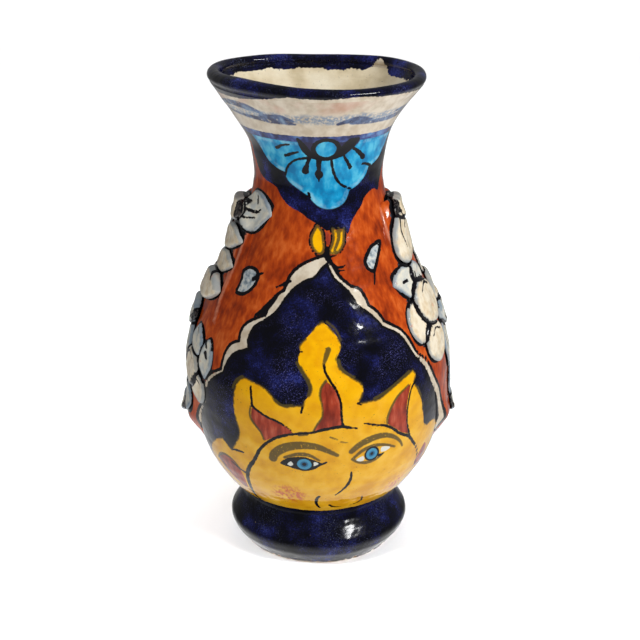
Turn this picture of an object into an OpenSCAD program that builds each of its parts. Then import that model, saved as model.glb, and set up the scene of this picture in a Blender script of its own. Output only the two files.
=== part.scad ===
// Relief-moulded tin-glazed pottery vase: thrown body, neck, rolled lip, flared foot ring and
// two side bouquets of clay sprigs. Z is up, the foot stands on z = 0, and the front faces -Y.

/* [Overall] */
// Height over the rolled lip
vase_h = 250; // [240:1:260]
// Widest radius of the belly wall
belly_r = 66.8; // [64:0.1:69]
// Radius of the narrowest part of the neck
neck_r = 32.2; // [30:0.1:34]
// Thickness of the body and neck walls
wall_t = 6; // [4.5:0.5:7]

/* [Foot] */
// Height of the foot ring, up to the waist where the body sits on it
foot_h = 28; // [26:0.5:30]
// Widest radius of the flared foot
foot_r = 47.5; // [46:0.1:50]
// Outer radius of the resting face
foot_rest_r = 38.8; // [38:0.1:41]
// Radius of the waist between foot and belly
waist_r = 40.2; // [39:0.1:42]
// Radius of the hollow under the foot
recess_r = 32; // [28:0.5:34]
// Thickness of the floor slab inside the vase
floor_t = 6; // [4:0.5:8]

/* [Mouth] */
// Mean outer radius of the lip
mouth_r = 54; // [50:0.1:56]
// Height of the rolled lip above the end of the neck
lip_h = 5.2; // [4.4:0.2:8]
// Width of the lip roll
lip_w = 7.6; // [6.6:0.2:8.6]
// How far the hand-pulled mouth sits towards the back
mouth_shift = 4; // [0:0.1:5]
// Depth of the three soft lobes of the hand-pulled mouth
mouth_lobe = 1.2; // [0:0.1:3]
// Sideways skew of the hand-pulled mouth
mouth_skew = 1.5; // [0:0.1:2]
// How far the upper neck bulges to the left
neck_bulge = 2.6; // [0:0.2:3]
// How much the back of the hand-pulled mouth is squared off
mouth_square = 2; // [0:0.1:2.5]

/* [Relief] */
// Depth that the applied clay is pressed into the wall under it
press_in = 0.3; // [0.1:0.1:0.5]
// Scale of the height that each sprig stands proud
sprig_lift = 1; // [0.7:0.1:1.2]
// Points around the edge of one sprig
sprig_n = 20; // [16:4:28]

/* [Smoothness] */
// Segments around the hand-pulled neck and lip
ring_n = 72; // [48:12:84]
// Height of one step of the turned wall profile
step_z = 5; // [3:1:6]

/* [Hidden] */
cobalt = [0.06, 0.06, 0.16];
terracotta = [0.70, 0.24, 0.10];
cream = [0.90, 0.84, 0.72];
leaf_grey = [0.68, 0.72, 0.72];
clay = [0.78, 0.56, 0.42];

neck_z = 200;                    // height of the narrowest ring, where neck meets body
neck_top_z = vase_h - lip_h;     // where the lip roll is laid on
belly_z = 97;                    // height of the widest ring of the belly
recess_flare = 1;                // extra radius of the hollow at the resting face
recess_flare_z = 6;              // height over which the hollow narrows
seat_w = 5.2;                    // width of the neck's end, under the lip roll
lip_overhang = 1.2;               // how far the roll stands out past the neck
floor_r = recess_r + 2;          // the floor slab rests 2 mm onto the foot ring
turned_fn = 96;                  // segments of the turned pieces

// Wall profile as [height, radius], from the waist up to the seat of the lip
WALL = [
  [foot_h, waist_r],
  [foot_h + 4, waist_r + 3.2],
  [foot_h + 10, waist_r + 8.8],
  [50, belly_r - 9.8],
  [62, belly_r - 4.9],
  [78, belly_r - 1.4],
  [belly_z, belly_r],
  [112, belly_r - 1.7],
  [126, belly_r - 5.4],
  [140, belly_r - 12],
  [154, belly_r - 18.5],
  [168, neck_r + 10.1],
  [182, neck_r + 4.2],
  [191, neck_r + 1.3],
  [neck_z, neck_r],
  [211, neck_r + 1.2],
  [222, neck_r + 4.2],
  [231, neck_r + 9.4],
  [neck_top_z, mouth_r - lip_overhang]
];

// Outer profile of the foot ring as [radius, height]
FOOT = [
  [foot_rest_r, 0],
  [foot_rest_r + 1.6, 0.9],
  [foot_rest_r + 3.7, 3.7],
  [foot_r - 1.6, 8],
  [foot_r - 0.2, 11.5],
  [foot_r, 13.5],
  [foot_r - 0.6, 15.8],
  [foot_r - 2.4, 18.6],
  [waist_r + 2.6, foot_h - 6],
  [waist_r + 0.7, foot_h - 2.8],
  [waist_r, foot_h]
];

// Cross-section of the lip roll as [share of its width inwards, share of its height]
LIP = [[-1, 0.46], [-0.86, 0.8], [-0.5, 1], [-0.12, 0.8], [0, 0.46], [-0.13, 0.16]];

// Half-width in degrees of the relief ground at each height
GROUND_HALF = [
  [58, 8], [66, 15], [78, 22], [95, 28], [115, 34],
  [140, 37], [160, 38], [176, 36], [188, 28]
];
// Height of the relief ground above the wall, along its middle
GROUND_LIFT = [
  [58, 0.3], [64, 1.6], [70, 3.6], [75, 5.4], [80, 3.4], [86, 1.6],
  [100, 1.1], [126, 1.3], [142, 1.6], [152, 1.3], [162, 1.8], [174, 3.2], [184, 3.6], [188, 3]
];
ground_z0 = 58;
ground_z1 = 188;
ground_rows = 32;
ground_cols = 16;
ground_edge = 0.25;              // height of the feathered edge of the ground
ground_level = 0.7;              // share of the half-width that is level

// Columns of a row that describes one sprig
NAME = 0;                        // its name
PHI = 1;                         // degrees from the middle of the side, towards its own face
Z = 2;                           // height of its middle
W = 3;                           // width
L = 4;                           // length
RISE = 5;                        // how far it stands proud
TURN = 6;                        // turn of its length from upright, away from its face
EGG = 7;                         // how much narrower its upper end is than its lower
POINT = 8;                       // how pointed its ends are
LEVEL = 9;                       // height of what it lies on, above the ground
TONE = 10;                       // glaze

// Sprigs of the bouquet whose leaves fan downwards
FAN = [
  ["top_leaf", 32, 185, 22, 23, 1.8, -66, 0.3, 0.45, 0, leaf_grey],
  ["upper_petal", 13, 168.5, 26, 14, 2.8, 10, 0.15, 0.1, 0, cream],
  ["middle_petal", 13, 156.5, 26, 13, 2.6, 8, 0.15, 0.1, 0, cream],
  ["round_petal", 9, 143.5, 32, 18, 5.4, 6, 0.2, 0, 0, cream],
  ["long_leaf", 9, 113, 12, 26, 2.6, 6, 0.1, 0.3, 0, leaf_grey],
  ["side_leaf", 31, 112.5, 11, 21, 1.6, -6, 0.2, 0.15, 0, leaf_grey],
  ["diamond_leaf", 21, 118.5, 14, 17, 2, 30, 0, 0.3, 0, leaf_grey],
  ["oval_petal", 18, 103.5, 18, 21, 2.8, 18, -0.1, 0, 0, cream],
  ["low_petal", 25, 94.5, 14, 18, 1.8, 24, -0.1, 0.2, 0, cream],
  ["tail_leaf", 12, 86, 13, 19, 2.2, 28, 0, 0.3, 0, leaf_grey]
];

// Sprigs of the bouquet whose petals hang one under another
HANGING = [
  ["long_petal", 18.5, 168.5, 21, 30, 3, 32, -0.2, 0.15, 0, cream],
  ["pointed_leaf", 32, 150.5, 17, 20, 1.7, -64, 0.3, 0.3, 0, leaf_grey],
  ["bud", 19, 151, 15, 14, 2.4, 0, 0, 0.1, 0, leaf_grey],
  ["under_petal", 32.5, 131, 19, 24, 1.5, 20, -0.15, 0.1, 0, cream],
  ["oval_petal", 21, 138, 24, 25, 2.4, 22, -0.15, 0, 1, cream],
  ["low_petal", 24, 119, 21, 22, 2.4, 24, -0.15, 0, 0, cream],
  ["strip_leaf", 8, 116, 14, 34, 1.8, 8, 0, 0.1, 0, cream],
  ["thin_leaf", 4, 90.5, 11, 19, 1.8, 4, 0, 0.2, 0, cream]
];

// Sprigs on the middle line of each side
MIDDLE = [
  ["top_knob", 4, 182, 25, 15, 4.4, 0, 0.1, 0, 0, cream],
  ["crown_bud", 0, 127, 26, 17, 4.4, 0, 0.15, 0.1, 0, leaf_grey],
  ["tail_tip", 0, 77.5, 19, 12, 3, 0, -0.3, 0.2, 0, leaf_grey]
];

// Each spray as [name prefix, sprigs, mirrored left to right, mirrored front to back,
// how much lower it was pressed on, share of the full relief]
SPRAYS = [
  ["left", MIDDLE, true, false, 0, 1],
  ["left_front", FAN, true, false, 0, 1],
  ["left_back", HANGING, true, true, 0, 1],
  ["right", MIDDLE, false, false, 0, 0.85],
  ["right_front", HANGING, false, false, 0, 1],
  ["right_back", FAN, false, true, 6, 0.7]
];
SIDES = ["left", "right"];

function sprig_name(spray, s) = str(spray[0], "_", s[NAME]);
function placed(spray, s) = [
  for (i = [0:len(s) - 1]) i == Z ? s[i] - spray[4] : i == RISE ? s[i] * spray[5] : s[i]
];
function ground_name(side) = str(side, "_relief_ground");

// A smooth curve through the [x, y] rows of t, read at x
function span(t, x, i = 0) = i >= len(t) - 2 || x < t[i + 1][0] ? i : span(t, x, i + 1);
function slope_at(t, i) =
  let (a = max(i - 1, 0), b = min(i + 1, len(t) - 1))
  (t[b][1] - t[a][1]) / (t[b][0] - t[a][0]);
function curve(t, x) =
  let (
    i = span(t, x),
    w = t[i + 1][0] - t[i][0],
    u = (x - t[i][0]) / w,
    m0 = slope_at(t, i) * w,
    m1 = slope_at(t, i + 1) * w
  )
  (2 * u * u * u - 3 * u * u + 1) * t[i][1] + (u * u * u - 2 * u * u + u) * m0
  + (3 * u * u - 2 * u * u * u) * t[i + 1][1] + (u * u * u - u * u) * m1;

// 0 below a, 1 above b, and smooth between
function smooth_step(a, b, x) =
  let (u = min(max((x - a) / (b - a), 0), 1))
  u * u * (3 - 2 * u);

// Radius of the turned wall, its slope, and the horizontal width of its clay
probe = 0.5;
function wall_r(z) = curve(WALL, z);
function wall_slope(z) = (wall_r(z + probe) - wall_r(z - probe)) / (2 * probe);
function wall_w(z) = wall_t * sqrt(1 + pow(wall_slope(z), 2) / 2);

// How far the hand-pulled mouth departs from a circle, at an angle from +X
pull_start_z = 206;
function mouth_pull(a) =
  mouth_shift * sin(a) + mouth_lobe * sin(3 * a) - mouth_skew * sin(2 * a)
  - mouth_square * cos(4 * a) * (1 + sin(a)) / 2;
// The bulge starts low on the neck, and part of it is left at the lip
bulge_start_z = 214;
bulge_full_z = 229;
bulge_fade_z = 236;
bulge_kept = 0.5;
function bulged(z, a) =
  neck_bulge * pow((1 - cos(a)) / 2, 2) * smooth_step(bulge_start_z, bulge_full_z, z)
  * (1 - (1 - bulge_kept) * smooth_step(bulge_fade_z, neck_top_z, z));
function pulled(z, a) =
  mouth_pull(a) * smooth_step(pull_start_z, neck_top_z, z) + bulged(z, a);

// Height of the relief ground above the wall, at an angle from the middle of its side
function ground_lift(phi, z) =
  z < ground_z0 || z > ground_z1 ? 0
  : curve(GROUND_LIFT, z) * (1 - smooth_step(ground_level, 1, abs(phi) / curve(GROUND_HALF, z)));

// A point above the wall on the +X side, where positive angles turn towards the front
function on_wall(phi, z, lift) =
  let (
    s = wall_slope(z),
    n = 1 / sqrt(1 + s * s),
    r = wall_r(z) + lift * n
  )
  [r * cos(phi), -r * sin(phi), z - lift * n * s];

// Triangles between stacked rings of m points each
function bands(rings, m) = [
  for (i = [0:rings - 2], j = [0:m - 1])
    let (a = i * m + j, b = i * m + (j + 1) % m)
    each [[a, a + m, b + m], [a, b + m, b]]
];
// Triangles that close ring k of m points to a point p, seen from outside
function cap_low(m, p) = [for (j = [0:m - 1]) [j, (j + 1) % m, p]];
function cap_high(k, m, p) = [for (j = [0:m - 1]) [k * m + (j + 1) % m, k * m + j, p]];

// A closed tube whose last ring joins its first
function loop_bands(rings, m) = [
  for (i = [0:rings - 1], j = [0:m - 1])
    let (
      a = i * m + j,
      b = i * m + (j + 1) % m,
      c = (i + 1) % rings * m + j,
      d = (i + 1) % rings * m + (j + 1) % m
    )
    each [[a, c, d], [a, d, b]]
];

module foot_ring() {
  hollow = [[recess_r, foot_h], [recess_r, recess_flare_z], [recess_r + recess_flare, 0]];
  color(cobalt)
    rotate_extrude($fn = turned_fn)
      polygon(concat(FOOT, hollow));
}

module floor_slab() {
  color(clay)
    translate([0, 0, foot_h])
      cylinder(h = floor_t, r = floor_r, $fn = turned_fn);
}

module body_wall() {
  zs = concat([for (z = [foot_h:step_z:neck_z - 1]) z], [neck_z]);
  hollow_z = [for (z = zs) if (z > foot_h + floor_t + 1) z];
  outer = [for (z = zs) [wall_r(z), z]];
  inner = [for (i = [len(hollow_z) - 1:-1:0]) [wall_r(hollow_z[i]) - wall_w(hollow_z[i]), hollow_z[i]]];
  color(terracotta)
    rotate_extrude($fn = turned_fn)
      polygon(concat(outer, inner, [[floor_r, foot_h + floor_t], [floor_r, foot_h]]));
}

// A point at a radius, an angle from +X and a height
function around(r, a, z) = [r * cos(a), r * sin(a), z];

// Radius of the neck's outside and inside, at a height and an angle
function neck_out(z, a) = wall_r(z) + pulled(z, a);
function neck_in(z, a) =
  let (top = smooth_step(neck_z, neck_top_z, z))
  neck_out(z, a) - (wall_w(z) * (1 - top) + seat_w * top);

module flared_neck() {
  rows = 11;
  zs = [for (i = [0:rows]) neck_z + (neck_top_z - neck_z) * i / rows];
  angles = [for (j = [0:ring_n - 1]) 360 * j / ring_n];
  points = concat(
    [for (z = zs, a = angles) around(neck_out(z, a), a, z)],
    [for (i = [rows:-1:0], a = angles) around(neck_in(zs[i], a), a, zs[i])]
  );
  color(cream)
    polyhedron(points = points, faces = loop_bands(2 * (rows + 1), ring_n), convexity = 6);
}

module rolled_lip() {
  section = concat(
    [[-lip_overhang - seat_w, 0]],
    [for (p = LIP) [p[0] * lip_w, p[1] * lip_h]],
    [[-lip_overhang, 0]]
  );
  color(cobalt)
    polyhedron(
      points = [
        for (i = [len(section) - 1:-1:0], j = [0:ring_n - 1])
          let (a = 360 * j / ring_n)
          around(mouth_r + pulled(neck_top_z, a) + section[i][0], a, neck_top_z + section[i][1])
      ],
      faces = loop_bands(len(section), ring_n),
      convexity = 6
    );
}

function ground_top(phi, z) = on_wall(phi, z, max(ground_lift(phi, z), ground_edge));

module relief_ground() {
  m = 2 * (ground_cols + 1);
  zs = [for (i = [0:ground_rows]) ground_z0 + (ground_z1 - ground_z0) * i / ground_rows];
  shares = [for (c = [0:ground_cols]) 2 * c / ground_cols - 1];
  // one flat loop of points per height: along the top from back to front, and back underneath
  points = [
    for (z = zs) each concat(
      [for (u = shares) ground_top(u * curve(GROUND_HALF, z), z)],
      [for (i = [ground_cols:-1:0]) on_wall(shares[i] * curve(GROUND_HALF, z), z, -press_in)]
    )
  ];
  end = [for (c = [0:ground_cols - 1]) each [[c, c + 1, m - 2 - c], [c, m - 2 - c, m - 1 - c]]];
  top = ground_rows * m;
  color(terracotta)
    polyhedron(
      points = points,
      faces = concat(
        bands(ground_rows + 1, m),
        end,
        [for (f = end) [f[0] + top, f[2] + top, f[1] + top]]
      ),
      convexity = 6
    );
}

// A point on a sprig's outline, as [towards its face, up], at an angle from its upper end
function sprig_edge(s, t) =
  let (
    across = s[W] / 2 * sin(t) * pow(abs(sin(t)), s[POINT]) * (1 - s[EGG] * cos(t)),
    along = s[L] / 2 * cos(t)
  )
  [across * cos(s[TURN]) - along * sin(s[TURN]), across * sin(s[TURN]) + along * cos(s[TURN])];

// Rings of a sprig as [share of its outline, share of its rise], where the underside is pressed in
SPRIG_RINGS = [[0.5, -1], [1, -1], [1, 0.3], [0.92, 0.7], [0.7, 0.95], [0.34, 1]];

function sprig_point(s, p, rise) =
  let (
    z = s[Z] + p[1] / sqrt(1 + pow(wall_slope(s[Z]), 2)),
    phi = s[PHI] + p[0] / wall_r(s[Z]) * 180 / PI,
    base = ground_lift(phi, z)
  )
  on_wall(phi, z, rise < 0 ? base - press_in : base + s[LEVEL] + rise * s[RISE] * sprig_lift);

module sprig(s) {
  rings = len(SPRIG_RINGS);
  under = rings * sprig_n;
  color(s[TONE])
    polyhedron(
      points = concat(
        [
          for (r = SPRIG_RINGS, j = [0:sprig_n - 1])
            sprig_point(s, r[0] * sprig_edge(s, 360 * j / sprig_n), r[1])
        ],
        [sprig_point(s, [0, 0], -1), sprig_point(s, [0, 0], 1)]
      ),
      faces = concat(
        cap_low(sprig_n, under),
        bands(rings, sprig_n),
        cap_high(rings - 1, sprig_n, under + 1)
      ),
      convexity = 4
    );
}

// The right front is as drawn. The other sides are its mirror images
module facing(to_left, to_back) {
  mirror([to_left ? 1 : 0, 0, 0])
    mirror([0, to_back ? 1 : 0, 0])
      children();
}

foot_ring();
floor_slab();
body_wall();
flared_neck();
rolled_lip();
for (side = SIDES)
  facing(side == "left", false) relief_ground();
for (spray = SPRAYS, s = spray[1])
  facing(spray[2], spray[3]) sprig(placed(spray, s));
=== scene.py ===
"""A relief-moulded talavera vase: its glazed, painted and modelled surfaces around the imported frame.

The painting is laid out on the unrolled wall, in degrees around from the middle of the front,
positive towards +X, and millimetres of height. Each painted shape becomes a signed distance
that the mesh carries, and the glaze materials turn those distances into brushed colour.
"""

import math

import bmesh
import bpy
import numpy as np
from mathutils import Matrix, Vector, noise
from mathutils.bvhtree import BVHTree


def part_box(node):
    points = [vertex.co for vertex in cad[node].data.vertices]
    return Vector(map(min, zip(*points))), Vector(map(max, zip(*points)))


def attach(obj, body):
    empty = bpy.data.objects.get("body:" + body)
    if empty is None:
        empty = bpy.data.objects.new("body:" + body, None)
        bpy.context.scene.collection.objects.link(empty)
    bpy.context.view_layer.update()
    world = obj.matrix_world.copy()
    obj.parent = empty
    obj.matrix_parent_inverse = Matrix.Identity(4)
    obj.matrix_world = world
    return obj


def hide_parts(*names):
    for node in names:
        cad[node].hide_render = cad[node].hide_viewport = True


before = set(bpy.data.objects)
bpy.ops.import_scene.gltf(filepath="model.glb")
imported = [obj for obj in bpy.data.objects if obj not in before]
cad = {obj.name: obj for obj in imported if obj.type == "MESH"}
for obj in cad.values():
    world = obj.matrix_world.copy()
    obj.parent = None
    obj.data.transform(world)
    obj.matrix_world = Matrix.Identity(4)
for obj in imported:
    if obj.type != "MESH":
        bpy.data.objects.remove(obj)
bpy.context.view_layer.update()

MM = 0.001
WELD = 0.02 * MM           # points of the frame nearer to each other than this are one
NECK_COLUMNS = 72          # angles at which the frame gives the hand-pulled neck
THIN = 1.0                 # less than the thickness of the wall anywhere
SLACK = 0.5                # how far below the floor's top the frame's levels begin to show both sides
PROBE = 1.0                # millimetres above and below a height where the wall's slant is read
SPAN_POINTS = 6            # points of a smooth line for each point given
FAR = -20.0                # value of a painted field well outside its shapes
FULL = 5.0                 # value of a painted field well inside them
REACH = 5.0                # how far outside its shapes a painted field is worked out
BRUSH_SPREAD = 0.12        # how far a brush line spreads on either side


# ------------------------------------------------------------------ reading the frame

def read(piece, key):
    """One vector for each point of a piece."""
    flat = np.empty(len(piece.data.vertices) * 3, np.float32)
    piece.data.vertices.foreach_get(key, flat)
    return flat.reshape(-1, 3)


def points_of(piece):
    """The points of a piece, in millimetres."""
    return read(piece, "co").astype(float) / MM


def welded(node):
    """A CAD node's mesh to work on, with its doubled points joined."""
    work = bmesh.new()
    work.from_mesh(cad[node].data)
    bmesh.ops.remove_doubles(work, verts=work.verts, dist=WELD)
    return work


def unrolled(points):
    """Degrees around from the front, height and radius of each point."""
    x, y, z = points.T
    return np.degrees(np.arctan2(x, -y)), z, np.hypot(x, y)


def by_angle(degrees, radius, pick):
    """The largest or smallest radius at each of the neck's angles."""
    slot = np.round(degrees * NECK_COLUMNS / 360).astype(int) % NECK_COLUMNS
    return np.array([pick(radius[slot == k]) for k in range(NECK_COLUMNS)])


def curve_through(a, b, c, d, u):
    """The smooth curve through four values in a row, at a share u of the way from b to c."""
    return 0.5 * (2 * b + (c - a) * u + (2 * a - 5 * b + 4 * c - d) * u**2 + (3 * b - a - 3 * c + d) * u**3)


def smooth_levels(levels, rows, at):
    """Rows of values on a smooth curve through the given levels, read at other levels."""
    k = np.clip(np.searchsorted(levels, at, side="right") - 1, 0, len(levels) - 2)

    def slope(i):
        low, high = np.maximum(i - 1, 0), np.minimum(i + 1, len(levels) - 1)
        return (rows[high] - rows[low]) / (levels[high] - levels[low])[:, None]

    width = (levels[k + 1] - levels[k])[:, None]
    u = (np.asarray(at)[:, None] - levels[k][:, None]) / width
    return (
        (2 * u**3 - 3 * u**2 + 1) * rows[k] + (u**3 - 2 * u**2 + u) * width * slope(k)
        + (3 * u**2 - 2 * u**3) * rows[k + 1] + (u**3 - u**2) * width * slope(k + 1)
    )


def smooth_around(rows, degrees):
    """Rows of values given evenly around the axis, read at other angles."""
    count = rows.shape[-1]
    place = (np.asarray(degrees) % 360) * count / 360
    k = np.floor(place).astype(int)
    return curve_through(*(rows[..., (k + step) % count] for step in (-1, 0, 1, 2)), place - k)


class Wall:
    """The vase wall's outer and inner radius over height and angle."""

    def __init__(self):
        outer, inner = {}, {floor_top: np.full(NECK_COLUMNS, floor_r)}
        for node in ("body_wall", "flared_neck"):
            degrees, height, radius = unrolled(points_of(cad[node]))
            level = np.round(height, 1)
            for z in np.unique(level):
                on = level == z
                both_sides = radius[on].max() > radius[on].min() + THIN
                if z > floor_top - SLACK and not both_sides:
                    continue
                if node == "flared_neck":
                    outer[z] = by_angle(degrees[on], radius[on], np.max)
                    inner[z] = by_angle(degrees[on], radius[on], np.min)
                    continue
                outer[z] = np.full(NECK_COLUMNS, radius[on].max())
                if z > floor_top:
                    inner[z] = np.full(NECK_COLUMNS, radius[on].min())
        self.outer_z, self.outer = self.table(outer)
        self.inner_z, self.inner = self.table(inner)

    @staticmethod
    def table(rings):
        levels = np.array(sorted(rings))
        return levels, np.array([rings[z] for z in levels])

    def outside(self, heights, degrees):
        return smooth_around(smooth_levels(self.outer_z, self.outer, heights), degrees)

    def inside(self, heights, degrees):
        return smooth_around(smooth_levels(self.inner_z, self.inner, heights), degrees)

    def slant(self, heights):
        """Millimetres of wall per millimetre of height."""
        low, high = self.outer_z[0] + PROBE, self.outer_z[-1] - PROBE
        z, place = np.unique(np.round(np.clip(heights, low, high), 1), return_inverse=True)
        above, below = (smooth_levels(self.outer_z, self.outer, z + s)[:, 0] for s in (PROBE, -PROBE))
        return np.hypot(1, (above - below) / (2 * PROBE))[place]


floor_low, floor_top = (corner.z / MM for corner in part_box("floor_slab"))
floor_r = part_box("floor_slab")[1].x / MM
neck_z, neck_top = (corner.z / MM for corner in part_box("flared_neck"))
wall = Wall()
waist_z = wall.outer_z[0]


# ------------------------------------------------------------------ lines of the painting

def filled_in(p, count):
    """A smooth line of count points for each span of p, whose first and last points only guide it."""
    parts = (p[i:len(p) - 3 + i, None, :] for i in range(4))
    return curve_through(*parts, (np.arange(count) / count)[None, :, None]).reshape(-1, 2)


def flow(points):
    """A smooth line through the points."""
    p = np.array(points, float)
    if len(p) < 3:
        return p
    p = np.vstack([2 * p[0] - p[1], p, 2 * p[-1] - p[-2]])
    return np.vstack([filled_in(p, SPAN_POINTS), p[-2]])


def outline(*runs):
    """A closed outline of smooth runs, each starting at the corner where the last one ended."""
    line = flow(runs[0])
    for run in runs[1:]:
        line = np.vstack([line, flow([tuple(line[-1])] + list(run))[1:]])
    return np.vstack([line, line[:1]])


class Painting:
    """Signed distances in millimetres from painted shapes, positive inside, at points on the wall."""

    def __init__(self, degrees, height, radius, fields):
        self.x, self.z = degrees, height
        self.per_degree = radius * math.pi / 180
        self.per_height = wall.slant(height)
        self.fields = {name: np.full(len(height), FAR) for name in fields}

    def near(self, line):
        low, high = line.min(0), line.max(0)
        side = REACH / self.per_degree
        return np.nonzero(
            (self.x > low[0] - side) & (self.x < high[0] + side)
            & (self.z > low[1] - REACH) & (self.z < high[1] + REACH)
        )[0]

    def distance(self, at, line):
        """Distance to a line, and the share of the line's length where it is nearest."""
        x, z, kx, kz = (v[at] for v in (self.x, self.z, self.per_degree, self.per_height))
        best, share = np.full(len(at), np.inf), np.zeros(len(at))
        for k in range(len(line) - 1):
            ax, az = (line[k, 0] - x) * kx, (line[k, 1] - z) * kz
            bx, bz = (line[k + 1, 0] - line[k, 0]) * kx, (line[k + 1, 1] - line[k, 1]) * kz
            t = np.clip(-(ax * bx + az * bz) / (bx * bx + bz * bz + 1e-9), 0, 1)
            d = np.hypot(ax + t * bx, az + t * bz)
            closer = d < best
            best, share = np.where(closer, d, best), np.where(closer, k + t, share)
        return best, share / (len(line) - 1)

    def within(self, at, line):
        """Whether each point lies inside a closed outline."""
        x, z, odd = self.x[at], self.z[at], np.zeros(len(at), bool)
        for (x0, z0), (x1, z1) in zip(line[:-1], line[1:]):
            if z0 != z1:
                odd ^= ((z0 > z) != (z1 > z)) & (x < (x1 - x0) * (z - z0) / (z1 - z0) + x0)
        return odd

    def signed(self, line):
        """The points near an outline, and how deep inside it each one is."""
        at = self.near(line)
        depth = self.distance(at, line)[0]
        return at, np.where(self.within(at, line), depth, -depth)

    def put(self, field, at, value):
        self.fields[field][at] = np.maximum(self.fields[field][at], value)

    def area(self, field, runs, *edges):
        """A filled outline, with lines along its edge as (field, width outside it, width inside it)."""
        at, depth = self.signed(outline(*runs))
        self.put(field, at, depth)
        for line, outside, inside in edges:
            self.put(line, at, np.minimum(depth + outside, inside - depth))

    def stroke(self, field, points, widths):
        """A brush line whose width runs evenly through the given widths."""
        line = flow(points)
        at = self.near(line)
        away, share = self.distance(at, line)
        width = np.interp(share, np.linspace(0, 1, len(widths)), widths)
        self.put(field, at, width / 2 + BRUSH_SPREAD - away)

    def disc(self, field, centre, half_wide, half_high):
        dx = (self.x - centre[0]) * self.per_degree / half_wide
        dz = (self.z - centre[1]) * self.per_height / half_high
        value = (1 - np.hypot(dx, dz)) * min(half_wide, half_high)
        self.put(field, slice(None), np.maximum(value, FAR))


# ------------------------------------------------------------------ the painting

# An outline is the runs between its corners, as points of (degrees, height), and each run starts
# where the last one ended. A brush line is its points, and the widths that it runs through.

# The outer edge of the cream border, and the edge of the cobalt panel inside it
PANEL_EDGE = (
    [(-78, 20), (-77, 48), (-73.5, 66), (-68, 80), (-61, 88.5)],
    [(-60.2, 94), (-58.2, 100.5), (-55, 105), (-51, 108.2), (-46.8, 110.8)],
    [(-46.8, 115), (-45.5, 120.5), (-43, 124.5), (-38.8, 126.8)],
    [(-39.4, 131), (-38, 134.5), (-34, 137.4), (-27.5, 140.5)],
    [(-26.8, 144.5), (-25, 148), (-22, 150.8), (-19.3, 152.3)],
    [(-18, 156), (-16, 160), (-11, 163.8), (-3, 166.8), (5.5, 168.8)],
    [(8.2, 164.2), (12.5, 158.8), (16, 156), (19, 154)],
    [(23.5, 152.4), (26, 148.5), (27, 145)],
    [(31, 141.8), (33, 139), (34, 136.7)],
    [(38.5, 134), (42.5, 131.2), (45.8, 126.5), (48, 121), (50, 117.5)],
    [(54.5, 113.5), (57.5, 109), (60, 103.5), (62, 99.5)],
    [(65.5, 94), (68, 88), (70, 83)],
    [(74, 72), (77, 55), (78, 20)],
)

COBALT_EDGE = (
    [(-75.6, 20), (-74.6, 48), (-71.2, 66.5), (-66, 80), (-58.8, 88.3)],
    [(-58.6, 92.8), (-57.6, 96.6), (-55.4, 101.7), (-51.5, 105.9), (-46.1, 110.2)],
    [(-45.2, 113.9), (-43.3, 118.3), (-40, 121.9), (-33.9, 125)],
    [(-34.9, 128.3), (-34.5, 132.2), (-33.1, 135.3), (-28.6, 138.6)],
    [(-25.6, 140.8), (-22.6, 143.5), (-20.4, 147.2), (-18.3, 150)],
    [(-16.1, 152.8), (-12.2, 155.8), (-7.2, 158.3)],
    [(-4, 159), (-1.4, 160.6), (1.4, 163.2), (5.6, 165.8)],
    [(7.4, 162.5), (10.3, 158.4), (14.4, 155.2), (17.6, 152.6)],
    [(19.8, 149.5), (21.4, 146.3), (24.6, 144)],
    [(28.5, 141), (31.2, 138), (33, 135.2)],
    [(37.5, 132.6), (41.2, 130), (44.2, 125.6), (46.6, 120.5), (48.8, 116.6)],
    [(52.5, 112.2), (55.2, 107.7), (57.5, 102.5), (59.6, 98.3)],
    [(62.8, 92.7), (65.4, 87.1), (67.6, 82.1)],
    [(71.6, 70.8), (74.6, 55), (75.8, 20)],
)

# The yellow face with its flames
SUN = (
    [(-74, 33), (-71, 46), (-67, 56), (-62, 63.5), (-55, 69.5), (-48.5, 73.2)],
    [(-46, 70.6), (-43.2, 68.2)],
    [(-41, 71.5), (-38.5, 75.5), (-36.6, 80), (-37, 84), (-38.3, 90), (-38.8, 97), (-38.2, 104),
     (-36.2, 108.8), (-33.5, 110.8)],
    [(-29, 109.6), (-24, 107.8), (-20.5, 105), (-17.5, 101), (-14.5, 99.6), (-10, 100.4), (-6.5, 100.6)],
    [(-5.6, 103.5), (-3.7, 106.5), (-3, 109.5), (-4, 113), (-6.3, 117), (-8.6, 121), (-8.9, 124.5),
     (-8, 126.3)],
    [(-8.8, 128.8), (-7.2, 131), (-4, 134.4), (-1, 137.8), (1.8, 139.7)],
    [(5.6, 136.9), (9, 132.6), (10.3, 129), (9.3, 126), (8, 123.2), (8.6, 120), (11, 116.5),
     (15, 113.4), (18.2, 110.8), (19.2, 107.8), (18.3, 104), (16.6, 100.8)],
    [(21, 101.2), (26, 101.6), (31, 104.4), (37, 107.6), (45.2, 111.2)],
    [(46.9, 108.5), (45.2, 104.6)],
    [(47.5, 101), (50, 95), (52, 88), (53.4, 83), (54.3, 79)],
    [(58, 77), (63, 77.4), (68, 75), (72.5, 70.5)],
    [(73, 60), (74.5, 48), (75, 35)],
    [(60, 34), (50, 34), (40, 33.8), (25, 33.2), (10, 32.6), (0, 32.5), (-20, 33), (-35, 33.6),
     (-48, 34), (-60, 34), (-74, 33)],
)

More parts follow.
